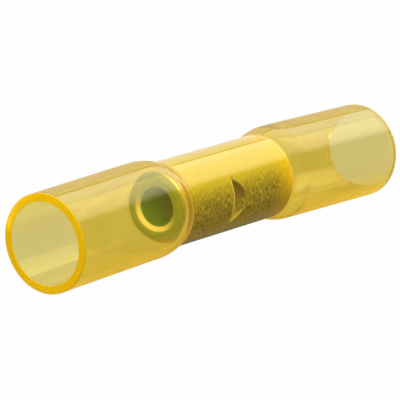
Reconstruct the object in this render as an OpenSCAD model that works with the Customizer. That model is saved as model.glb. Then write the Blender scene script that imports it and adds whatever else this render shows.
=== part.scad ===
// Heat-shrink butt splice for joining two wires end to end.
// A tinned copper crimp barrel is held in the shrunk middle of a clear yellow sleeve.
// The free ends lean a little to one side, so the splice lies flat on that bend and does not roll.
// The barrel's axis runs along X, and the origin is under the middle of the whole splice.

/* [Sleeve] */
// Length of the sleeve along its middle line
sleeve_l = 41.3; // [34:0.1:60]
// Outside diameter of the two free ends
sleeve_d = 7.8; // [7.2:0.1:10]
// Thickness of the sleeve wall
sleeve_wall = 0.63; // [0.4:0.01:0.8]
// Length of the rounded shoulder between the shrunk neck and a free end
shoulder_l = 2.0; // [1.2:0.1:4]
// How far the ends of the barrel reach past the shrunk neck
barrel_past_neck = 0.5; // [0:0.05:0.6]
// Lean of each free end out of the barrel's line, in degrees
end_lean = 1.3; // [0.5:0.1:4]
// How far past the shoulder the lean starts
lean_past_shoulder = 0.35; // [0.3:0.05:1]

/* [Crimp barrel] */
// Length of the barrel
barrel_l = 14.6; // [10:0.1:18]
// Outside diameter of the barrel
barrel_d = 5.6; // [5:0.1:6]
// Bore that takes the bare strands
bore_d = 3.2; // [2.8:0.1:3.6]
// Diameter of the funnel where it opens in the end face
funnel_d = 4.4; // [4:0.1:4.6]
// Depth of the funnel from the end face to the bore
funnel_depth = 0.2; // [0.1:0.05:1]
// How far the bevel of each end reaches in from the outside of the barrel
bevel_w = 0.5; // [0.1:0.05:0.5]
// Length of that bevel along the barrel
bevel_l = 0.2; // [0.1:0.05:0.5]
// How far the barrel sits off the middle of the sleeve, towards -X
barrel_off = 0.2; // [0:0.05:0.3]

/* [Wire stop] */
// Length of the half-moon along the barrel, from its sheared edge to its round edge
stop_l = 1.45; // [1.2:0.05:1.6]
// Width of the sheared edge across the barrel
stop_w = 3.2; // [2.8:0.1:3.6]
// Height of the punch's centre above the barrel's axis: the lower, the deeper it presses
punch_height = 3.3; // [3:0.1:3.8]
// Thickness of the tongue that is pressed into the bore
tongue_t = 0.7; // [0.4:0.05:0.9]
// Length of bore around the stop that is drawn in with it
drawn_l = 2.6; // [2.2:0.1:4]
// How far the wall of the bore is drawn in there
drawn_depth = 0.05; // [0.02:0.01:0.12]
// Turn of the stop from straight up towards the side that the free ends lean to, in degrees
stop_turn = 12; // [-90:1:90]

/* [Fit] */
// Radial clearance between the barrel and the shrunk neck
neck_clearance = 0.02; // [0:0.01:0.1]

/* [Hidden] */

$fn = 96;

// Cutting shapes run this far past the faces that they cut
overcut = 1;

// Rounds a length to a thousandth of a millimetre, so that faces that should meet do
function to_micron(length) = round(length * 1000) / 1000;

sleeve_r = sleeve_d / 2;
barrel_r = barrel_d / 2;
bore_r = bore_d / 2;
funnel_r = funnel_d / 2;

// The neck's inside follows the barrel, and its outside is one wall further out
neck_in_r = barrel_r + neck_clearance;
neck_r = neck_in_r + sleeve_wall;
neck_step = sleeve_r - neck_r;

// Each shoulder is one arc that runs smoothly into the free end and meets the neck at a corner.
// The arcs of the outside and the inside share a centre, so that the wall keeps its thickness.
shoulder_r = to_micron((pow(shoulder_l, 2) + pow(neck_step, 2)) / (2 * neck_step));
shoulder_in_r = shoulder_r - sleeve_wall;
shoulder_in_l = sqrt(2 * shoulder_in_r * neck_step - pow(neck_step, 2));
shoulder_x = to_micron(barrel_l / 2 - barrel_past_neck + shoulder_in_l);

// The lean is rounded so that its cosine has six digits, which lets the two sides of the bend meet exactly
lean_cos = round(cos(end_lean) * 1000000) / 1000000;
lean = acos(lean_cos);
lean_x = shoulder_x + lean_past_shoulder;
free_l = sleeve_l / 2 - lean_x;

// The barrel's axis is off the middle by half of what the ends reach to the side
axis_y = to_micron((free_l * sin(lean) - sleeve_r * (1 - lean_cos)) / 2);

// The stop is pressed by a ball-nosed punch that is cut off flat at the sheared edge.
// The ball is placed so that its mark on the barrel has the length and width given above.
sheared_x = -stop_l / 2;
stop_corner_z = sqrt(pow(barrel_r, 2) - pow(stop_w / 2, 2));
ball_back = ((barrel_r - stop_corner_z) * punch_height - pow(stop_l, 2) / 2) / stop_l;
ball_r = sqrt(pow(ball_back + stop_l, 2) + pow(barrel_r - punch_height, 2));
ball_x = sheared_x - ball_back;

// Half outline of a waisted rod: ends of radius end_r, a neck, and arcs between them
module waisted_outline(end_r, waist_r, arc_r, length) {
    translate([0, -length / 2])
        square([waist_r, length]);
    for (side = [0, 1])
        mirror([0, side])
            translate([0, shoulder_x]) {
                square([end_r, length / 2 - shoulder_x]);
                intersection() {
                    translate([end_r - arc_r, 0])
                        circle(r = arc_r);
                    translate([0, -shoulder_x])
                        square([end_r, shoulder_x]);
                }
            }
}

// Neck, shoulders and the start of both free ends, run past the places where the lean starts
module sleeve_middle() {
    length = 2 * (lean_x + overcut);
    rotate([0, 90, 0])
        rotate_extrude()
            difference() {
                waisted_outline(sleeve_r, neck_r, shoulder_r, length);
                waisted_outline(sleeve_r - sleeve_wall, neck_in_r, shoulder_in_r, length + 2 * overcut);
            }
}

// Straight free end at the +X side, run back past the place where the lean starts
module free_end() {
    translate([lean_x, 0, 0])
        rotate([0, 90, -lean])
            translate([0, 0, -overcut])
                linear_extrude(free_l + overcut)
                    difference() {
                        circle(r = sleeve_r);
                        circle(r = sleeve_r - sleeve_wall);
                    }
}

// Everything past the slanting plane where the middle and the +X free end meet
module past_the_bend() {
    translate([lean_x, 0, 0])
        rotate(-lean / 2)
            translate([0, -sleeve_l, -sleeve_l])
                cube(2 * sleeve_l);
}

module heat_shrink_sleeve() {
    color([0.93, 0.76, 0.18, 0.6])
        translate([0, axis_y, sleeve_r]) {
            difference() {
                sleeve_middle();
                for (side = [0, 1])
                    mirror([side, 0, 0])
                        past_the_bend();
            }
            for (side = [0, 1])
                mirror([side, 0, 0])
                    intersection() {
                        free_end();
                        past_the_bend();
                    }
        }
}

// One end of the barrel's half section, from the drawn-in bore to the outer bevel
function barrel_end() = [
    [bore_r, drawn_l / 2],
    [bore_r, barrel_l / 2 - funnel_depth],
    [funnel_r, barrel_l / 2],
    [barrel_r - bevel_w, barrel_l / 2],
    [barrel_r, barrel_l / 2 - bevel_l]
];

// The same points on the other end, in the order that closes the outline
function mirrored_end(points) = [
    for (i = [len(points) - 1 : -1 : 0]) [points[i].x, -points[i].y]
];

module barrel_tube() {
    narrowest = [bore_r - drawn_depth, 0];
    rotate_extrude()
        polygon(concat([narrowest], barrel_end(), mirrored_end(barrel_end())));
}

// The punch's ball beyond the sheared edge, grown by a thickness, about an axis along X
module punch_nose(grow) {
    reach = 2 * (ball_r + grow);
    intersection() {
        translate([ball_x, 0, punch_height])
            rotate([0, -90, 0])
                sphere(r = ball_r + grow);
        translate([sheared_x, -reach, punch_height - reach])
            cube(2 * reach);
    }
}

// The metal that the punch pushes ahead of it into the bore
module stop_tongue() {
    intersection() {
        punch_nose(tongue_t);
        rotate([0, 90, 0])
            cylinder(r = (barrel_r + bore_r) / 2, h = barrel_l, center = true);
    }
}

module crimp_barrel() {
    color([0.74, 0.73, 0.68])
        translate([-barrel_off, axis_y, sleeve_r])
            rotate([stop_turn, 0, 0])
                difference() {
                    union() {
                        rotate([0, 90, 0])
                            barrel_tube();
                        stop_tongue();
                    }
                    punch_nose(0);
                }
}

heat_shrink_sleeve();
crimp_barrel();
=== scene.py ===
"""Looks of a heat-shrink butt splice: a clear yellow sleeve, shrunk at its middle on a tinned crimp barrel.

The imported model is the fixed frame. Both of its pieces are stood for by finer surfaces of the same form,
worked out as whole arrays: the sleeve is a wall outline carried along its middle line, and the barrel is a
radius over a grid of place along the axis and angle round it. All lengths are in metres.
"""

import logging
import math
from dataclasses import dataclass
from enum import Enum

import bpy
import numpy as np
from mathutils import Matrix, Vector


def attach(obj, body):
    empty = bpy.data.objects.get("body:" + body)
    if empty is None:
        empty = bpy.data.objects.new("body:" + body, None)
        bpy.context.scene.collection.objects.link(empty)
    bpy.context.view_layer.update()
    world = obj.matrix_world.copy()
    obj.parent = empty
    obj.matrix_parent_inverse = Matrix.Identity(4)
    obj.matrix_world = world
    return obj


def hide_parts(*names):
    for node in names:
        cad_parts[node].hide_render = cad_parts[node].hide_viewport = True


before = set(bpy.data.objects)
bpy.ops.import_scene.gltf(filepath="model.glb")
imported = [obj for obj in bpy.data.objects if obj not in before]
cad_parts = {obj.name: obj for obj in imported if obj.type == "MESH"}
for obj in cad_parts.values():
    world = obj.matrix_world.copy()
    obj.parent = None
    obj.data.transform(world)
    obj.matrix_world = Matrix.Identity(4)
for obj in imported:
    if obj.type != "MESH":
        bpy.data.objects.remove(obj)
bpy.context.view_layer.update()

MM = 0.001
AXIS_Y = 0.132 * MM
AXIS_Z = 3.9 * MM
SKIN_MAP = "skin"
log = logging.getLogger("butt_splice")

Color = tuple[float, float, float, float]
Point = tuple[float, float, float]
Socket = bpy.types.NodeSocket
Value = float | Color | Socket

WHITE: Color = (1.0, 1.0, 1.0, 1.0)


class SleeveMask(Enum):
    """The places of the sleeve that differ from its plain wall, by the name of the mask on its points."""

    CUT_RIM = "cut_rim"
    CORNER = "corner"
    END_OUTSIDE = "end_outside"


class BarrelMask(Enum):
    """The places of the barrel that differ from its plain plate, by the name of the mask on its points.

    Most of them are painted light and shade.
    """

    PAINTED_SHADE_SIDE = "painted_shade_side"
    WARM_END = "warm_end"
    END_LIP_SHADE = "end_lip_shade"
    BORE_SHADE = "bore"
    HOLLOW_SHADE = "hollow_shade"
    BARE_EDGE_AND_HIGHLIGHT = "bare_edge_and_highlight"


def hold(values: np.ndarray) -> np.ndarray:
    """Holds values between 0 and 1."""
    return np.clip(values, 0.0, 1.0)


def smooth_max(a: np.ndarray, b: np.ndarray, blend: float) -> np.ndarray:
    """The larger of two lengths with a rounded corner: (a + b + sqrt((a - b)^2 + blend^2)) / 2."""
    return (a + b + np.sqrt((a - b) ** 2 + blend**2)) / 2


def grid_quads(rows: int, columns: int) -> np.ndarray:
    """Faces of a grid that closes on itself in both directions, like the skin of a ring.

    Args:
        rows: number of points along the outline.
        columns: number of points round the axis.

    Returns:
        Corner indices, one row of four for each quad, ordered so that the outside faces out when the outline
        runs towards +X on the outside.
    """
    i, j = np.meshgrid(np.arange(rows), np.arange(columns), indexing="ij")
    down, along = (i + 1) % rows, (j + 1) % columns
    corners = (i * columns + j, i * columns + along, down * columns + along, down * columns + j)
    return np.stack(corners, axis=-1).reshape(-1, 4)


def past_seam(column: np.ndarray) -> np.ndarray:
    """Marks the face corners that have gone once round, in the faces that close a grid at its first column."""
    return (column == 0) & (column[:, :1] != 0)


def add_object(name: str, data: bpy.types.ID) -> bpy.types.Object:
    """Makes an object of a mesh, light or camera and links it to the scene."""
    added = bpy.data.objects.new(name, data)
    bpy.context.scene.collection.objects.link(added)
    return added


def make_piece(name: str, points: np.ndarray, quads: np.ndarray, sharp_deg: float) -> bpy.types.Object:
    """Puts arrays of points and quads into a smooth mesh object at the origin.

    Args:
        name: name of the object and its mesh.
        points: array of n by 3 places.
        quads: array of m by 4 corner indices.
        sharp_deg: edges that turn by more than this stay sharp.

    Returns:
        The linked object.
    """
    mesh = bpy.data.meshes.new(name)
    mesh.vertices.add(len(points))
    mesh.vertices.foreach_set("co", points.astype(np.float32).ravel())
    mesh.loops.add(quads.size)
    mesh.loops.foreach_set("vertex_index", quads.astype(np.int32).ravel())
    mesh.polygons.add(len(quads))
    mesh.polygons.foreach_set("loop_start", np.arange(0, quads.size, 4, dtype=np.int32))
    mesh.polygons.foreach_set("use_smooth", np.ones(len(quads), dtype=bool))
    mesh.update(calc_edges=True)
    mesh.validate()
    mesh.set_sharp_from_angle(angle=math.radians(sharp_deg))
    return add_object(name, mesh)


def give_map(piece: bpy.types.Object, along: np.ndarray, around: np.ndarray) -> None:
    """Gives a piece its map of millimetres along and round it.

    Args:
        piece: the piece.
        along: first coordinate of each face corner.
        around: second coordinate of each face corner.
    """
    layer = piece.data.uv_layers.new(name=SKIN_MAP)
    layer.uv.foreach_set("vector", np.stack([along, around], axis=-1).astype(np.float32).ravel())


def give_mask(piece: bpy.types.Object, mask: Enum, values: np.ndarray) -> None:
    """Stores one value from 0 to 1 at each point of a piece, for its material to read."""
    layer = piece.data.attributes.new(name=mask.value, type="FLOAT", domain="POINT")
    layer.data.foreach_set("value", values.astype(np.float32).ravel())


class Nodes:
    """Short calls for building one node tree."""

    def __init__(self, tree: bpy.types.NodeTree) -> None:
        """Starts from an empty tree."""
        self.tree = tree
        tree.nodes.clear()

    def add(self, kind: str, inputs: dict | None = None, **settings: object) -> bpy.types.Node:
        """Adds a node.

        Args:
            kind: Blender's name of the node type.
            inputs: input socket name or index to a value, or to an output socket that is linked to it.
            **settings: properties of the node.

        Returns:
            The node.
        """
        node = self.tree.nodes.new(kind)
        for key, value in settings.items():
            setattr(node, key, value)
        for key, value in (inputs or {}).items():
            if isinstance(value, Socket):
                self.tree.links.new(value, node.inputs[key])
            else:
                node.inputs[key].default_value = value
        return node

    def math(self, operation: str, a: Value, b: Value, c: Value = 0.0) -> Socket:
        """Adds a Math node on two or three values or sockets and returns its output."""
        return self.add("ShaderNodeMath", {0: a, 1: b, 2: c}, operation=operation).outputs[0]

    def blend(self, share: Value, a: Value, b: Value) -> Socket:
        """Adds a blend of values from a to b, held to shares from 0 to 1, and returns its output."""
        return self.add("ShaderNodeMix", {0: share, 2: a, 3: b}, data_type="FLOAT").outputs[0]

    def mix(self, share: Value, a: Value, b: Value) -> Socket:
        """Adds a colour mix from a to b and returns its output."""
        return self.add("ShaderNodeMix", {0: share, 6: a, 7: b}, data_type="RGBA").outputs[2]

    def mix_shader(self, share: Value, a: Socket, b: Socket) -> Socket:
        """Adds a mix of two shaders from a to b and returns its output."""
        return self.add("ShaderNodeMixShader", {0: share, 1: a, 2: b}).outputs[0]

    def ramp(self, value: Socket, low: float, high: float) -> Socket:
        """Maps low..high to 0..1 with a smooth step and returns the result."""
        inputs = {"Value": value, "From Min": low, "From Max": high}
        return self.add("ShaderNodeMapRange", inputs, interpolation_type="SMOOTHSTEP").outputs["Result"]

    def masks(self, kinds: type[Enum]) -> dict[Enum, Socket]:
        """Adds a reader for each mask of a piece and returns their outputs."""
        return {
            mask: self.add("ShaderNodeAttribute", attribute_name=mask.value).outputs["Fac"]
            for mask in kinds}


def new_material(name: str) -> tuple[bpy.types.Material, Nodes]:
    """Makes a material and the short calls for building its tree."""
    material = bpy.data.materials.new(name)
    material.use_nodes = True
    return material, Nodes(material.node_tree)


def grain_group() -> bpy.types.NodeTree:
    """Makes the shared grain: fine flecks and a slow drift, from the piece's own map in millimetres.

    Returns:
        A node group with the inputs Along, Round and Drift, in flecks or patches for each millimetre, and the
        outputs Fleck and Patch, each from 0 to 1.
    """
    low, high = 0.3, 0.7
    group = bpy.data.node_groups.new("grain", "ShaderNodeTree")
    for in_out, names in (("INPUT", ("Along", "Round", "Drift")), ("OUTPUT", ("Fleck", "Patch"))):
        for name in names:
            group.interface.new_socket(name=name, in_out=in_out, socket_type="NodeSocketFloat")
    n = Nodes(group)
    given = n.add("NodeGroupInput").outputs
    place = n.add("ShaderNodeUVMap", uv_map=SKIN_MAP).outputs["UV"]
    stretch = n.add("ShaderNodeCombineXYZ", {"X": given["Along"], "Y": given["Round"]}).outputs[0]
    fine = n.add("ShaderNodeVectorMath", {0: place, 1: stretch}, operation="MULTIPLY").outputs[0]
    fleck = n.add("ShaderNodeTexNoise", {"Vector": fine, "Scale": 1.0, "Detail": 3.0, "Roughness": 0.62})
    slow = n.add("ShaderNodeTexNoise", {"Vector": place, "Scale": given["Drift"], "Detail": 2.0})
    n.add("NodeGroupOutput", {
        "Fleck": n.ramp(fleck.outputs["Fac"], low, high), "Patch": n.ramp(slow.outputs["Fac"], low, high)})
    return group


@dataclass(frozen=True)
class GrainSize:
    """How fine the shared grain is on one finish, in flecks or patches for each millimetre."""

    along: float
    around: float
    drift: float

    def place(self, n: Nodes, grain: bpy.types.NodeTree) -> tuple[Socket, Socket]:
        """Adds the grain group to a material at this size and returns its Fleck and Patch."""
        sizes = {"Along": self.along, "Round": self.around, "Drift": self.drift}
        node = n.add("ShaderNodeGroup", sizes, node_tree=grain)
        return node.outputs["Fleck"], node.outputs["Patch"]


@dataclass(frozen=True)
class ClearYellowPlastic:
    """Clear yellow polyolefin: it takes the blue out of light that goes through it, and is a little hazy.

    The haze is light that the wall scatters: more of it at the drawn corners and towards the edges of the free
    ends, where the wall is seen on a slant, and most at the cut rims. Towards those edges the haze is also
    brighter and paler than a longer path alone would give: painted light for the bright floor reflected in
    the wall and carried along it. The slant runs from 0 where the wall is seen squarely to 1 at its edge, and
    it starts to count at slant_from.
    """

    name: str
    grain_size: GrainSize = GrainSize(along=0.6, around=1.6, drift=0.25)
    tint: Color = (1.0, 0.99, 0.95, 1.0)
    tint_drift: Color = (1.0, 0.97, 0.92, 1.0)
    roughness: float = 0.045
    roughness_drift: float = 0.01
    rim_roughness: float = 0.3
    slant_blend: float = 0.5
    slant_from: float = 0.45
    slant_full: float = 0.95
    haze: float = 0.06
    corner_haze: float = 0.45
    # Painted light: more haze at the edges of the free ends, partly from the longer slanted path.
    edge_haze_and_floor_light: float = 0.85
    rim_haze: float = 0.85
    rim_from_inside: float = 0.08
    haze_tint: Color = (0.98, 0.86, 0.04, 1.0)
    # Paler haze colour at those edges, a painted reflection of the floor.
    edge_floor_light_tint: Color = (1.0, 0.97, 0.8, 1.0)
    rim_tint: Color = (0.91, 0.55, 0.0, 1.0)
    haze_through: float = 0.9
    rim_through: float = 0.1
    passing: Color = (0.98, 0.92, 0.58, 1.0)
    through: Color = (0.985, 0.89, 0.0, 1.0)
    density: float = 1450.0
    ior: float = 1.49

    def make(self, grain: bpy.types.NodeTree) -> bpy.types.Material:
        """Builds the material.

        Args:
            grain: the shared grain group.

        Returns:
            The material, which reads the masks of the sleeve by name and lets shadow rays pass, so that the
            barrel inside is lit.
        """
        material, n = new_material(self.name)
        fleck, patch = self.grain_size.place(n, grain)
        masks = n.masks(SleeveMask)
        rim = masks[SleeveMask.CUT_RIM]
        rough = n.blend(rim, self.roughness, self.rim_roughness)
        rough = n.math("ADD", rough, n.math("MULTIPLY", fleck, self.roughness_drift))
        clear = n.add("ShaderNodeBsdfPrincipled", {
            "Base Color": n.mix(patch, self.tint, self.tint_drift), "Roughness": rough,
            "IOR": self.ior, "Transmission Weight": 1.0}).outputs[0]
        facing = n.add("ShaderNodeLayerWeight", {"Blend": self.slant_blend}).outputs["Facing"]
        slant = n.ramp(facing, self.slant_from, self.slant_full)
        # Towards the edges of the free ends the haze rises and turns paler: partly a longer slanted path, partly
        # painted light for the floor reflected in the wall and carried along it.
        edge = n.math("MULTIPLY", slant, masks[SleeveMask.END_OUTSIDE])
        veil = n.blend(masks[SleeveMask.CORNER], self.haze, self.corner_haze)
        veil = n.math("ADD", veil, n.math("MULTIPLY", edge, self.edge_haze_and_floor_light))
        inside = n.add("ShaderNodeNewGeometry").outputs["Backfacing"]
        veil = n.blend(rim, veil, n.blend(inside, self.rim_haze, self.rim_from_inside))
        milk_tint = n.mix(rim, n.mix(edge, self.haze_tint, self.edge_floor_light_tint), self.rim_tint)
        back = n.add("ShaderNodeBsdfDiffuse", {"Color": milk_tint}).outputs[0]
        on = n.add("ShaderNodeBsdfTranslucent", {"Color": milk_tint}).outputs[0]
        milk = n.mix_shader(n.blend(rim, self.haze_through, self.rim_through), back, on)
        hazy = n.mix_shader(veil, clear, milk)
        passing = n.add("ShaderNodeBsdfTransparent", {"Color": self.passing}).outputs[0]
        shadow = n.add("ShaderNodeLightPath").outputs["Is Shadow Ray"]
        body = n.add("ShaderNodeVolumeAbsorption", {"Color": self.through, "Density": self.density})
        n.add("ShaderNodeOutputMaterial", {
            "Surface": n.mix_shader(shadow, hazy, passing), "Volume": body.outputs[0]})
        return material


@dataclass(frozen=True)
class TinnedCopper:
    """Tin on copper with fine flecks, yellower towards one end, with painted light and shade over it.

    The flecks run from dark to bright on the side painted in shade, and from a lighter dark to bright on the strip
    painted lit, where the side light falls. The end faces, the bore and the stop's hollow are painted dark as
    shade, and edges painted bright as highlights, the stop's cut edges also being bare metal. The colours of
    the other places lie over them in the order given.
    """

    name: str
    grain_size: GrainSize = GrainSize(along=8.0, around=3.0, drift=0.8)
    bright: Color = (0.8, 0.81, 0.34, 1.0)
    dark: Color = (0.09, 0.085, 0.03, 1.0)
    # Painted light: dark flecks are this lighter colour on the strip the side light falls on, plain dark in the
    # painted shade.
    lit_side_dark: Color = (0.74, 0.73, 0.22, 1.0)
    patch_share: float = 0.25
    places: tuple[tuple[BarrelMask, Color], ...] = (
        (BarrelMask.WARM_END, (0.97, 0.82, 0.03, 1.0)),
        # Painted shade on the end faces.
        (BarrelMask.END_LIP_SHADE, (0.24, 0.36, 0.1, 1.0)),
        # Painted shade in the bore.
        (BarrelMask.BORE_SHADE, (0.1, 0.4, 0.1, 1.0)),
        # Painted shade in the stop's hollow.
        (BarrelMask.HOLLOW_SHADE, (0.2, 0.18, 0.08, 1.0)),
        # Bare cut edges with a painted highlight, and painted highlights on the funnels and the end's edge.
        (BarrelMask.BARE_EDGE_AND_HIGHLIGHT, (1.0, 0.96, 1.0, 1.0)))
    roughness: float = 0.42
    roughness_flecks: float = 0.18
    metallic: float = 0.32
    # Metallic of the bare edges and of the painted highlights.
    bare_and_highlight_metallic: float = 0.1
    bump_strength: float = 0.35
    bump_depth: float = 0.02 * MM

    def make(self, grain: bpy.types.NodeTree) -> bpy.types.Material:
        """Builds the material.

        Args:
            grain: the shared grain group.

        Returns:
            The material, which reads the masks of the barrel by name.
        """
        material, n = new_material(self.name)
        fleck, patch = self.grain_size.place(n, grain)
        masks = n.masks(BarrelMask)
        # Painted shade and light: the flecks darken away from the side light and lighten on the strip it falls on.
        dark = n.mix(masks[BarrelMask.PAINTED_SHADE_SIDE], self.lit_side_dark, self.dark)
        color = n.mix(fleck, dark, self.bright)
        color = n.mix(n.math("MULTIPLY", patch, self.patch_share), color, dark)
        for mask, tint in self.places:
            color = n.mix(masks[mask], color, tint)
        bare_and_highlight_change = self.bare_and_highlight_metallic - self.metallic
        bump = n.add("ShaderNodeBump", {
            "Height": fleck, "Strength": self.bump_strength, "Distance": self.bump_depth})
        shader = n.add("ShaderNodeBsdfPrincipled", {
            "Base Color": color,
            "Metallic": n.math("MULTIPLY_ADD", masks[BarrelMask.BARE_EDGE_AND_HIGHLIGHT], bare_and_highlight_change, self.metallic),
            "Roughness": n.math("MULTIPLY_ADD", fleck, self.roughness_flecks, self.roughness),
            "Normal": bump.outputs[0]})
        n.add("ShaderNodeOutputMaterial", {"Surface": shader.outputs[0]})
        return material


@dataclass
class HeatShrinkSleeve:
    """The sleeve: a waisted tube whose free ends lean a little towards -Y.

    The bore of the neck lies 0.01 mm inside the barrel's skin, because the shrunk plastic wets the metal, and a
    gap of air there would show as a mirror. rounding_from and rounding_row are shares of shoulder_end.
    """

    length: float = 41.3 * MM
    end_radius: float = 3.9 * MM
    wall: float = 0.63 * MM
    neck_radius: float = 3.45 * MM
    neck_bore_radius: float = 2.79 * MM
    shoulder_arc: float = 4.669 * MM
    shoulder_end: float = 8.653 * MM
    lean_at: float = 9.003 * MM
    lean_deg: float = 1.299
    lean_curve: float = 60.0 * MM
    axis_y: float = AXIS_Y
    axis_z: float = AXIS_Z
    rim_edge: float = 0.06 * MM
    rim_run_on: float = 0.14 * MM
    corner: float = 6.65 * MM
    corner_blend: float = 0.035 * MM
    corner_ring: float = 0.15 * MM
    corner_reach: float = 0.24 * MM
    corner_clear: float = 0.36 * MM
    rounding_from: float = 0.62
    rounding_row: float = 0.7
    rounding_in: float = 1.0 * MM
    rounding_out: float = 0.5 * MM
    lean_run: float = 1.6 * MM
    straight_from: float = 2.2 * MM
    shoulder_rows: int = 9
    lean_rows: int = 6
    straight_rows: int = 5
    rim_rows: int = 6
    columns: int = 600
    sharp_deg: float = 40.0
    inside_map_mm: float = 30.0

    def middle_line(self, along: np.ndarray) -> tuple[np.ndarray, np.ndarray, np.ndarray]:
        """The line that the outline is carried along: straight, then an arc, then straight again on each side.

        With a the angle turned so far, c the arc's radius and s the run past the arc, the place is
        x = straight run + c sin a + s cos(lean) and y = -c (1 - cos a) - s sin(lean).

        Args:
            along: signed distance from the middle along the line.

        Returns:
            Arrays of x, of y and of the angle turned, which has the sign of along.
        """
        lean, side, run = math.radians(self.lean_deg), np.sign(along), np.abs(along)
        start = self.lean_at - self.lean_curve * math.tan(lean / 2)
        turned = np.clip((run - start) / self.lean_curve, 0.0, lean)
        past = np.maximum(run - start - self.lean_curve * lean, 0.0)
        x = np.minimum(run, start) + self.lean_curve * np.sin(turned) + past * math.cos(lean)
        y = -self.lean_curve * (1 - np.cos(turned)) - past * math.sin(lean)
        return side * x, y, side * turned

    def wall_radius(self, along: np.ndarray, inside: bool) -> np.ndarray:
        """Radius of one face of the wall: the larger of the neck and the shoulder's arc, rounded where they meet.

        The arc's radius at a distance q short of the shoulder's end is centre + sqrt(arc^2 - q^2).

        Args:
            along: signed distance from the middle along the middle line.
            inside: True for the inner face of the wall.

        Returns:
            The radius at each place.
        """
        arc = self.shoulder_arc - (self.wall if inside else 0.0)
        neck = self.neck_bore_radius if inside else self.neck_radius
        short = np.maximum(self.shoulder_end - np.abs(along), 0.0)
        shoulder = self.end_radius - self.shoulder_arc + np.sqrt(np.maximum(arc**2 - short**2, 0.0))
        rounded = smooth_max(np.full_like(shoulder, neck), shoulder, self.corner_blend)
        fade = hold((np.abs(along) - self.shoulder_end * self.rounding_from) / self.rounding_in)
        fade = fade * hold(short / self.rounding_out)
        return np.maximum(neck, shoulder) * (1 - fade) + rounded * fade

    def outline(self) -> tuple[np.ndarray, np.ndarray, np.ndarray]:
        """The closed outline of the wall: the outside towards +X, the right rim, the inside back, the left rim.

        Returns:
            Arrays of the distance along the middle line, of the radius and of 1.0 for points of a cut rim.
        """
        edge, corner, shoulder = self.rim_edge, self.corner, self.shoulder_end
        end = self.length / 2 - edge
        run = np.concatenate([
            [0.0, self.rounding_from * shoulder, self.rounding_row * shoulder],
            np.linspace(corner - self.corner_reach, corner + self.corner_reach, self.shoulder_rows),
            np.linspace(corner + self.corner_clear, shoulder, self.shoulder_rows),
            np.linspace(shoulder, shoulder + self.lean_run, self.lean_rows)[1:],
            np.linspace(shoulder + self.straight_from, end - self.rim_run_on, self.straight_rows),
            [end]])
        run = np.concatenate([-run[:0:-1], run])
        turn = np.linspace(0.0, math.pi / 2, self.rim_rows)
        outer_end, inner_end = self.end_radius, self.end_radius - self.wall
        rim_run = np.concatenate([end + edge * np.sin(turn), end + edge * np.cos(turn)])
        rim_r = np.concatenate([
            outer_end - edge + edge * np.cos(turn), inner_end + edge - edge * np.sin(turn)])
        along = np.concatenate([run, rim_run[1:-1], run[::-1], -rim_run[-2:0:-1]])
        radius = np.concatenate([
            self.wall_radius(run, False), rim_r[1:-1], self.wall_radius(run[::-1], True), rim_r[-2:0:-1]])
        rim = np.concatenate([np.zeros_like(run), np.ones(len(rim_r) - 2)] * 2)
        rim[[0, len(run) - 1]] = 1.0
        return along, radius, rim

    def build(self) -> bpy.types.Object:
        """Carries the outline along the middle line: place + radius (cos t . sideways + sin t . up) for t."""
        along, radius, rim = self.outline()
        x, y, turned = self.middle_line(along)
        t = np.linspace(0.0, 2 * math.pi, self.columns, endpoint=False)
        side, up = radius[:, None] * np.cos(t), radius[:, None] * np.sin(t)
        points = np.stack([
            x[:, None] + np.sin(turned)[:, None] * side,
            self.axis_y + y[:, None] + np.cos(turned)[:, None] * side,
            self.axis_z + up], axis=-1).reshape(-1, 3)
        rows = len(along)
        quads = grid_quads(rows, self.columns)
        piece = make_piece("yellow_sleeve", points, quads, self.sharp_deg)
        row, column = quads // self.columns, quads % self.columns
        outside = np.arange(rows) < rows // 2
        column_mm = 2 * math.pi * self.end_radius / MM / self.columns
        give_map(piece, along[row] / MM + self.inside_map_mm * ~outside[row],
                 (column + past_seam(column) * self.columns) * column_mm)
        past_corner = (np.abs(along) - self.corner) / self.corner_ring
        masks = {
            SleeveMask.CUT_RIM: rim,
            SleeveMask.CORNER: outside * np.exp(-(past_corner**2)),
            SleeveMask.END_OUTSIDE: outside * hold(past_corner)}
        for mask, values in masks.items():
            give_mask(piece, mask, np.repeat(values, self.columns))
        return piece

    def dress(self, piece: bpy.types.Object, plastic: bpy.types.Material) -> None:
        """Gives the sleeve its plastic, and ties the piece to the frame."""
        piece.data.materials.append(plastic)
        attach(piece, "root")
        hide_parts("heat_shrink_sleeve")


@dataclass(frozen=True)
class Sector:
    """A part of the barrel's round that fades at its sides: base + slope cos(turned - middle), held to 0..1."""

    middle_deg: float
    base: float
    slope: float

    def share(self, turned: np.ndarray) -> np.ndarray:
        """The share at each angle turned from straight up towards -Y."""
        return hold(self.base + self.slope * np.cos(turned - math.radians(self.middle_deg)))


@dataclass(frozen=True)
class BarrelSection:
    """The closed outline of the barrel's wall: the outside, the +X end, the inside back and the -X end.

    For each row of the grid, x is its place along the axis, wall its radius before the stop is pressed in, and
    outer and inner tell whether it lies on the outside or in the bore.
    """

    x: np.ndarray
    wall: np.ndarray
    outer: np.ndarray
    inner: np.ndarray


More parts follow.
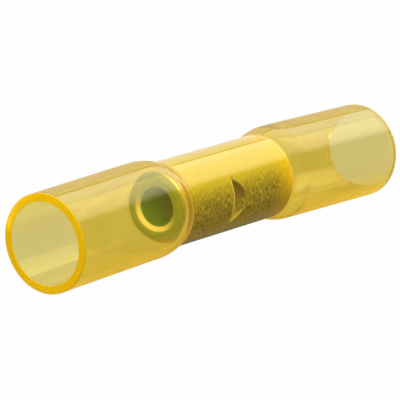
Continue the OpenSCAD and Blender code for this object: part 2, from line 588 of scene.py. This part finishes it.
@dataclass
class CrimpBarrel:
    """The barrel: a short tube with a funnel at each end and a half-moon wire stop lanced into its bore.

    The first sizes are those of the solid. The sizes of the grid follow, and then those of the masks, whose
    angles are turned from straight up towards -Y.
    """

    length: float = 14.6 * MM
    radius: float = 2.8 * MM
    bore: float = 1.6 * MM
    funnel: float = 2.2 * MM
    funnel_depth: float = 0.2 * MM
    bevel_width: float = 0.5 * MM
    bevel_length: float = 0.2 * MM
    off: float = -0.2 * MM
    stop_length: float = 1.45 * MM
    stop_width: float = 3.2 * MM
    punch_height: float = 3.3 * MM
    tongue: float = 0.7 * MM
    drawn_length: float = 2.6 * MM
    drawn_depth: float = 0.05 * MM
    stop_turn_deg: float = 12.0
    axis_y: float = AXIS_Y
    axis_z: float = AXIS_Z

    step: float = 0.004 * MM
    row_gap: float = 0.02 * MM
    bare: float = 0.16 * MM
    bare_run_on: float = 0.032 * MM
    plain_rows: int = 24
    stop_rows: int = 40
    end_rows: int = 15
    stop_columns: int = 56
    plain_columns: int = 168
    least_mark_deg: float = 2.0
    most_mark_deg: float = 60.0
    plain_mark_deg: float = 30.0
    plain_mark_from: float = 1.5 * MM
    plain_mark_run: float = 4.0 * MM
    sharp_deg: float = 28.0
    bore_map_mm: float = 20.0

    warm_length: float = 2.6 * MM
    warm_loss_below: float = 0.6
    # Painted light and shade: a strip facing the side light is painted lit, the rest of the plate painted in
    # shade.
    lit_strip_middle_deg: float = -62.0
    lit_strip_half_deg: float = 50.5
    lit_strip_fade: float = 2.4
    # Painted reflection: less painted shade towards the -Y side, where the floor is reflected.
    floor_reflection_share: float = 0.6
    hollow_depth: float = 0.03 * MM
    # Painted shade in the stop's hollow, darkest towards +Y.
    hollow_shade_middle: float = 0.6
    hollow_shade_slope: float = 0.5
    hollow_shade_least: float = 0.15
    funnel_run_out: float = 0.1 * MM
    funnel_highlight: Sector = Sector(118.0, 0.1, 1.1)
    # Painted highlight at the +Y side of the +X end's outer edge, painted shade at the other side.
    end_highlight: Sector = Sector(-55.0, 0.4, 1.2)
    lower_side: Sector = Sector(90.0, 0.0, 1.0)
    # Painted reflection of the floor on the -Y side of the plate.
    floor_reflection_side: Sector = Sector(90.0, -2.0, 10.0 / 3.0)

    @property
    def shear(self) -> float:
        """Place of the stop's sheared edge from the barrel's middle."""
        return -self.stop_length / 2

    @property
    def ridge(self) -> float:
        """Radius of the furthest ring of each end, midway between the funnel and the bevel."""
        return (self.funnel + self.radius - self.bevel_width) / 2

    def punch(self) -> tuple[float, float]:
        """Radius of the punch's ball and its place along the axis, from the size of its mark on the barrel."""
        corner = math.sqrt(self.radius**2 - (self.stop_width / 2) ** 2)
        back = ((self.radius - corner) * self.punch_height - self.stop_length**2 / 2) / self.stop_length
        ball = math.hypot(back + self.stop_length, self.radius - self.punch_height)
        return ball, self.shear - back

    def mark_angle(self, x: np.ndarray, wall: np.ndarray, grow: float) -> np.ndarray:
        """Half angle of the ball's mark on a round wall: cos = (w^2 + h^2 + d^2 - b^2) / (2 w h).

        Args:
            x: place along the axis, d being its distance from the ball.
            wall: radius w of the wall there.
            grow: added to the ball's radius b.

        Returns:
            The angle, held between two limits so that the grid lines never fall together.
        """
        ball, ball_x = self.punch()
        h = self.punch_height
        d = np.maximum(x, self.shear) - ball_x
        cos = (wall**2 + h**2 + d**2 - (ball + grow) ** 2) / (2 * wall * h)
        least, most = math.radians(self.least_mark_deg), math.radians(self.most_mark_deg)
        return np.clip(np.arccos(np.clip(cos, -1.0, 1.0)), least, most)

    def pressed_radius(self, section: BarrelSection, angle: np.ndarray) -> np.ndarray:
        """Radius where the ball presses: h cos t - sqrt(b^2 - d^2 - h^2 sin^2 t), or the plain wall.

        Args:
            section: the outline of the wall.
            angle: angle t of each point from the middle of the stop.

        Returns:
            The smaller of the plain and the pressed radius past the sheared edge of the outside and the bore,
            and the plain one everywhere else. In the bore the ball is larger by the tongue.
        """
        ball, ball_x = self.punch()
        h, x, wall = self.punch_height, section.x[:, None], section.wall[:, None]
        grow = np.where(section.inner, self.tongue, 0.0)[:, None]
        inside = (ball + grow) ** 2 - (x - ball_x) ** 2 - (h * np.sin(angle)) ** 2
        near = h * np.cos(angle) - np.sqrt(np.maximum(inside, 0.0))
        touched = (inside > 0) & (x > self.shear) & (np.cos(angle) > 0)
        touched &= (section.outer | section.inner)[:, None]
        return np.where(touched, np.minimum(wall, near), wall)

    def places(self, end: float, apex: float) -> np.ndarray:
        """Places along one face of the wall, close together over the stop and towards its round edge.

        Args:
            end: half the length of the face.
            apex: place of the stop's round edge.

        Returns:
            The places from -X to +X.
        """
        shear, bare = self.shear, self.bare
        first = shear + self.step
        return np.concatenate([
            np.linspace(-end, shear - bare, self.plain_rows),
            [shear - bare / 2, shear - self.step, shear],
            first + (apex - first) * np.sin(np.linspace(0, math.pi / 2, self.stop_rows)),
            np.linspace(apex + self.row_gap, end - bare - self.bare_run_on, self.plain_rows),
            [end - bare, end - bare / 2, end]])

    def end_face(self) -> tuple[np.ndarray, np.ndarray]:
        """The rounded +X end, from the outside in to the bore.

        With q running from 0 at the outside or the bore to 1 at the ridge, the face lies drop (1 - sin(q pi / 2))
        short of the end. The drop is the bevel's length outside the ridge and the funnel's depth inside it.

        Returns:
            Arrays of the place along the axis and of the radius.
        """
        ridge = self.ridge
        r = np.linspace(self.radius - self.row_gap, self.bore + self.row_gap, self.end_rows)
        bevel = r > ridge
        q = np.where(bevel, (self.radius - r) / (self.radius - ridge), (r - self.bore) / (ridge - self.bore))
        drop = np.where(bevel, self.bevel_length, self.funnel_depth)
        return self.length / 2 - drop * (1 - np.sin(hold(q) * math.pi / 2)), r

    def section(self) -> BarrelSection:
        """Puts the faces of the wall together into one closed outline."""
        half = self.length / 2
        ball, ball_x = self.punch()
        tongue_apex = ball_x + math.sqrt((ball + self.tongue) ** 2 - (self.punch_height - self.bore) ** 2)
        outer_x = self.places(half - self.bevel_length, self.shear + self.stop_length)
        inner_x = self.places(half - self.funnel_depth, tongue_apex)[::-1]
        end_x, end_r = self.end_face()
        drawn = self.drawn_depth * hold(1 - np.abs(inner_x) / (self.drawn_length / 2))
        runs = [outer_x, end_x, inner_x, -end_x[::-1]]
        walls = [np.full_like(outer_x, self.radius), end_r, self.bore - drawn, end_r[::-1]]
        face = np.repeat(np.arange(len(runs)), [len(run) for run in runs])
        return BarrelSection(np.concatenate(runs), np.concatenate(walls), face == 0, face == 2)

    def angles(self, section: BarrelSection) -> tuple[np.ndarray, np.ndarray]:
        """Angles of the grid's columns: the first ones spread over the stop's mark, the others over the rest.

        Args:
            section: the outline of the wall.

        Returns:
            The angle of each point from the middle of the stop, and the half angle of the mark in each row, which
            goes over to a plain one away from the stop.
        """
        x, wall = section.x, section.wall
        mark = np.where(section.inner, self.mark_angle(x, wall, self.tongue), self.mark_angle(x, wall, 0.0))
        plain = hold((np.abs(x) - self.plain_mark_from) / self.plain_mark_run)
        mark = (mark * (1 - plain) + math.radians(self.plain_mark_deg) * plain)[:, None]
        in_mark = np.linspace(-1.0, 1.0, self.stop_columns + 1)
        rest = np.linspace(0.0, 1.0, self.plain_columns + 1)[1:-1]
        return np.concatenate([mark * in_mark, mark + (2 * math.pi - 2 * mark) * rest], axis=1), mark

    def masks(self, section: BarrelSection, angle: np.ndarray, mark: np.ndarray,
              radius: np.ndarray) -> dict[BarrelMask, np.ndarray]:
        """The places that the plate shows in other colours.

        The plate is painted in shade outside a strip that is painted lit where the side light falls, and less so
        towards its -Y side, where a paler painted reflection of the floor shows. It turns a warmer yellow towards
        the +X end, less so at its -Y side. The outer edge of that end carries a painted highlight at its +Y side
        and painted shade like the stop's hollow at the other. The stop's hollow is painted in shade, darkest
        towards +Y.
        The stop's cut edges are bare metal with a painted highlight, the lower side of each funnel carries a
        painted highlight, and the end faces and the bore are painted dark as shade.

        Args:
            section: the outline of the wall.
            angle: angle of each point from the middle of the stop.
            mark: half angle of the stop's mark in each row.
            radius: radius of each point.

        Returns:
            For each mask, values from 0 to 1 that spread over the grid.
        """
        x, wall = section.x[:, None], section.wall[:, None]
        outer, inner = section.outer[:, None], section.inner[:, None]
        at_end = ~(outer | inner)
        half, column = self.length / 2, np.arange(angle.shape[1])
        turned = angle + math.radians(self.stop_turn_deg)
        # Painted light and shade: lit on the strip facing the side light, painted shade elsewhere.
        from_lit_strip = np.cos(turned - math.radians(self.lit_strip_middle_deg))
        painted_shade = hold(0.5 + self.lit_strip_fade * (math.cos(math.radians(self.lit_strip_half_deg)) - from_lit_strip))
        # Painted reflection of the floor lightens the -Y side.
        painted_shade = painted_shade * (1 - self.floor_reflection_share * self.floor_reflection_side.share(turned))
        warm = hold((x - half + self.warm_length) / (self.warm_length - self.bevel_length))
        warm = warm * (1 - self.warm_loss_below * self.lower_side.share(turned))
        # Painted shade in the stop's hollow, darkest towards +Y.
        pressed = outer & (radius < wall - self.hollow_depth)
        hollow_shade = np.clip(self.hollow_shade_middle - self.hollow_shade_slope * angle / mark, self.hollow_shade_least, 1.0)
        # Painted highlight at one side of the +X end's outer edge, painted shade like the hollow's at the other.
        end_edge = outer & (x > half - self.bevel_length - self.bare)
        bright = self.end_highlight.share(turned)
        # The stop's cut edges are bare metal and carry a painted highlight.
        round_edge = np.isin(column, (0, self.stop_columns)) & (x > self.shear)
        round_edge = round_edge & (x < self.shear + self.stop_length)
        sheared_edge = (column <= self.stop_columns) & (x <= self.shear)
        sheared_edge = sheared_edge & (x > self.shear - self.bare + self.step)
        # Painted highlight on the lower side of each funnel.
        funnel = at_end & (wall < (self.ridge + self.bore) / 2 + self.funnel_run_out)
        bare = outer * (round_edge | sheared_edge) + funnel * self.funnel_highlight.share(turned)
        return {
            BarrelMask.PAINTED_SHADE_SIDE: outer * painted_shade,
            BarrelMask.WARM_END: outer * warm,
            # The end faces are painted dark as shade.
            BarrelMask.END_LIP_SHADE: at_end,
            # The bore is painted dark as shade.
            BarrelMask.BORE_SHADE: inner,
            BarrelMask.HOLLOW_SHADE: np.maximum(pressed * hollow_shade, end_edge * (1 - bright)),
            BarrelMask.BARE_EDGE_AND_HIGHLIGHT: bare + end_edge * bright}

    def build(self) -> bpy.types.Object:
        """Turns the outline round the axis with the stop pressed in: (x, -radius sin t, radius cos t) for t."""
        section = self.section()
        angle, mark = self.angles(section)
        radius = self.pressed_radius(section, angle)
        turned = angle + math.radians(self.stop_turn_deg)
        points = np.stack([
            np.broadcast_to(self.off + section.x[:, None], angle.shape),
            self.axis_y - radius * np.sin(turned),
            self.axis_z + radius * np.cos(turned)], axis=-1).reshape(-1, 3)
        rows, columns = angle.shape
        quads = grid_quads(rows, columns)
        piece = make_piece("crimp_barrel_tinned", points, quads, self.sharp_deg)
        row, column = quads // columns, quads % columns
        around = angle[row, column] + 2 * math.pi * past_seam(column)
        give_map(piece, section.x[row] / MM + self.bore_map_mm * section.inner[row], around * self.radius / MM)
        for mask, values in self.masks(section, angle, mark, radius).items():
            give_mask(piece, mask, np.broadcast_to(values, angle.shape).astype(float))
        return piece

    def dress(self, piece: bpy.types.Object, plate: bpy.types.Material) -> None:
        """Gives the barrel its plate, and ties the piece to the frame."""
        piece.data.materials.append(plate)
        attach(piece, "root")
        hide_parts("crimp_barrel")


@dataclass(frozen=True)
class Strip:
    """One of several soft light strips side by side: its two edges across them and its radiance, 1 being white."""

    name: str
    low: float
    high: float
    radiance: float

    @property
    def middle(self) -> float:
        """Place of its middle line."""
        return (self.low + self.high) / 2

    @property
    def width(self) -> float:
        """Distance from low to high."""
        return self.high - self.low


@dataclass(frozen=True)
class AimedPanel:
    """A soft light panel that shines at the origin from its place, with its radiance, 1 being white."""

    name: str
    place: Point
    size: tuple[float, float]
    radiance: float


@dataclass
class Studio:
    """Floor, light and camera."""

    axis_turn_deg: float = 51.93
    axis_rise_deg: float = 10.52
    distance: float = 267.53 * MM
    off_right: float = 0.821 * MM
    off_up: float = 0.723 * MM
    lens: float = 301.8
    sensor: float = 36.0
    nearest: float = 0.01
    furthest: float = 50.0

    floor_inner: float = 0.05
    floor_radius: float = 1.2
    wall_radius: float = 1.7
    wall_height: float = 0.5
    floor_rows: int = 12
    wall_rows: int = 24
    floor_columns: int = 96
    floor_sharp_deg: float = 80.0
    floor_grey: float = 0.6
    white: float = 0.98
    white_through: float = 0.6
    grey_in_gloss: float = 0.85
    gloss_grey: float = 0.1

    room: float = 0.16
    side_middle: Point = (0.325, 0.29, 0.164)
    side_facing: Point = (0.0, -0.87, -0.492)
    side_length: float = 1.25
    side_strips: tuple[Strip, ...] = (
        Strip("side_soft_box", -0.187, 0.082, 1.8),
        Strip("side_soft_edge", 0.082, 0.124, 1.3),
        Strip("side_soft_fringe", 0.124, 0.16, 0.6))
    aimed_panels: tuple[AimedPanel, ...] = (
        AimedPanel("overhead_soft_box", (-0.5, 0.25, 0.55), (0.9, 0.7), 1.7),
        AimedPanel("front_fill", (-0.6, 0.05, 0.12), (0.6, 0.24), 2.0))
    table_x: float = 0.364
    table_height: float = 0.4 * MM
    table_length: float = 0.772
    table_strips: tuple[Strip, ...] = (
        Strip("near_table_panel", 0.001, 0.0112, 0.85),
        Strip("table_panel", 0.0134, 0.352, 2.0))

    def camera_axes(self) -> tuple[np.ndarray, np.ndarray, np.ndarray]:
        """Right, up and back of the camera in the frame of the part.

        The barrel's axis points right, up by axis_rise and away by axis_turn in the picture; the plane in which
        the free ends lean is upright in the picture, so the part's own up points right and towards the camera.

        Returns:
            Three unit vectors.
        """
        turn, rise = math.radians(self.axis_turn_deg), math.radians(self.axis_rise_deg)
        x = np.array([math.cos(rise) * math.cos(turn), math.sin(rise), -math.cos(rise) * math.sin(turn)])
        z = np.array([math.sin(turn), 0.0, math.cos(turn)])
        seen = np.stack([x, np.cross(z, x), z], axis=1)
        return seen[0], seen[1], seen[2]

    @staticmethod
    def stand(thing: bpy.types.Object, place: Vector, right: Vector, up: Vector, back: Vector) -> None:
        """Puts a camera or a light at a place, with the directions of its own axes."""
        turn = Matrix((right, up, back)).transposed().to_4x4()
        thing.matrix_world = Matrix.Translation(place) @ turn

    def set_camera(self, middle: Vector) -> None:
        """Makes the camera, aimed so that the middle of the barrel falls where the picture has it."""
        right, up, back = (Vector(v) for v in self.camera_axes())
        data = bpy.data.cameras.new("camera")
        data.lens, data.sensor_width = self.lens, self.sensor
        data.clip_start, data.clip_end = self.nearest, self.furthest
        camera = add_object("camera", data)
        place = middle - right * self.off_right - up * self.off_up + back * self.distance
        self.stand(camera, place, right, up, back)
        bpy.context.scene.camera = camera

    def floor_material(self) -> bpy.types.Material:
        """Makes the pale floor: white to the camera and through plastic, dim in gloss, grey to other light."""
        material, n = new_material("pale_floor")
        path = n.add("ShaderNodeLightPath").outputs
        seen = n.math("MAXIMUM", n.math("MULTIPLY", path["Is Camera Ray"], self.white),
                      n.math("MULTIPLY", path["Is Transmission Ray"], self.white_through))
        in_gloss = n.math("MULTIPLY", path["Is Glossy Ray"], self.grey_in_gloss)
        plain = n.add("ShaderNodeBsdfDiffuse", {"Color": (self.floor_grey,) * 3 + (1.0,)}).outputs[0]
        white = n.add("ShaderNodeEmission", {"Color": WHITE, "Strength": 1.0}).outputs[0]
        grey = n.add("ShaderNodeEmission", {"Color": WHITE, "Strength": self.gloss_grey}).outputs[0]
        surface = n.mix_shader(seen, n.mix_shader(in_gloss, plain, grey), white)
        n.add("ShaderNodeOutputMaterial", {"Surface": surface})
        return material

    def set_floor(self) -> None:
        """Makes the floor: a flat disc that sweeps up to a low round wall far away.

        The height at radius r is 0 on the disc and wall_height q^2 past it, q running from 0 to 1 to the wall.
        """
        r = np.concatenate([
            [0.0], np.linspace(self.floor_inner, self.floor_radius, self.floor_rows),
            np.linspace(self.floor_radius, self.wall_radius, self.wall_rows)[1:]])
        q = hold((r - self.floor_radius) / (self.wall_radius - self.floor_radius))
        t = np.linspace(0.0, 2 * math.pi, self.floor_columns, endpoint=False)
        height = np.broadcast_to((self.wall_height * q**2)[:, None], (len(r), len(t)))
        points = np.stack([r[:, None] * np.cos(t), r[:, None] * np.sin(t), height], axis=-1).reshape(-1, 3)
        quads = grid_quads(len(r), len(t))[: (len(r) - 1) * len(t), ::-1]
        floor = make_piece("floor", points, quads, self.floor_sharp_deg)
        floor.data.materials.append(self.floor_material())

    def add_panel(self, name: str, middle: Vector, facing: Vector, along: Vector, size: tuple[float, float],
                  radiance: float) -> bpy.types.Object:
        """Adds a soft light panel.

        Args:
            name: name of the light.
            middle: middle of the panel.
            facing: direction that it shines in.
            along: direction of its first side.
            size: lengths of its two sides.
            radiance: brightness of its face, where 1 is white.

        Returns:
            The light, hidden from the camera.
        """
        data = bpy.data.lights.new(name, "AREA")
        data.shape, data.size, data.size_y = "RECTANGLE", *size
        data.energy = radiance * math.pi * size[0] * size[1]
        panel = add_object(name, data)
        back = -facing.normalized()
        first = (along - back * along.dot(back)).normalized()
        self.stand(panel, middle, first, back.cross(first), back)
        panel.visible_camera = False
        return panel

    def set_light(self) -> None:
        """Lights the part with a dim room, soft strips at its +Y side, two aimed panels and strips on the floor.

        The side strips fade towards one edge. One aimed panel is overhead behind the camera, and the other fills
        the -X mouth. The narrow gap between the floor's strips shows as a thin dark line along the sleeve.
        """
        x, y, z = (Vector(row) for row in np.eye(3))
        world = bpy.data.worlds.new("room")
        bpy.context.scene.world = world
        world.use_nodes = True
        n = Nodes(world.node_tree)
        room = n.add("ShaderNodeBackground", {"Color": WHITE, "Strength": self.room})
        n.add("ShaderNodeOutputWorld", {"Surface": room.outputs[0]})
        middle, facing = Vector(self.side_middle), Vector(self.side_facing)
        across = facing.normalized().cross(x)
        for strip in self.side_strips:
            size = (self.side_length, strip.width)
            self.add_panel(strip.name, middle + across * strip.middle, facing, x, size, strip.radiance)
        for panel in self.aimed_panels:
            place = Vector(panel.place)
            self.add_panel(panel.name, place, -place, y, panel.size, panel.radiance)
        for strip in self.table_strips:
            place = Vector((self.table_x, strip.middle, self.table_height))
            size = (self.table_length, strip.width)
            table = self.add_panel(strip.name, place, z, x, size, strip.radiance)
            table.visible_transmission = False


def main() -> None:
    """Builds the pieces in order, sets the studio and reports each piece."""
    logging.basicConfig(level=logging.INFO, format="%(name)s: %(message)s")
    bpy.context.scene.view_settings.view_transform = "Standard"
    grain = grain_group()
    plastic = ClearYellowPlastic("clear_yellow_plastic").make(grain)
    plate = TinnedCopper("grained_tin").make(grain)
    sleeve, barrel = HeatShrinkSleeve(), CrimpBarrel()
    sleeve_piece, barrel_piece = sleeve.build(), barrel.build()
    sleeve.dress(sleeve_piece, plastic)
    barrel.dress(barrel_piece, plate)
    for piece in (sleeve_piece, barrel_piece):
        log.info("%s: %d faces", piece.name, len(piece.data.polygons))
    studio = Studio()
    studio.set_floor()
    studio.set_light()
    studio.set_camera(Vector((0.0, barrel.axis_y, barrel.axis_z)))


if __name__ == "__main__":
    main()
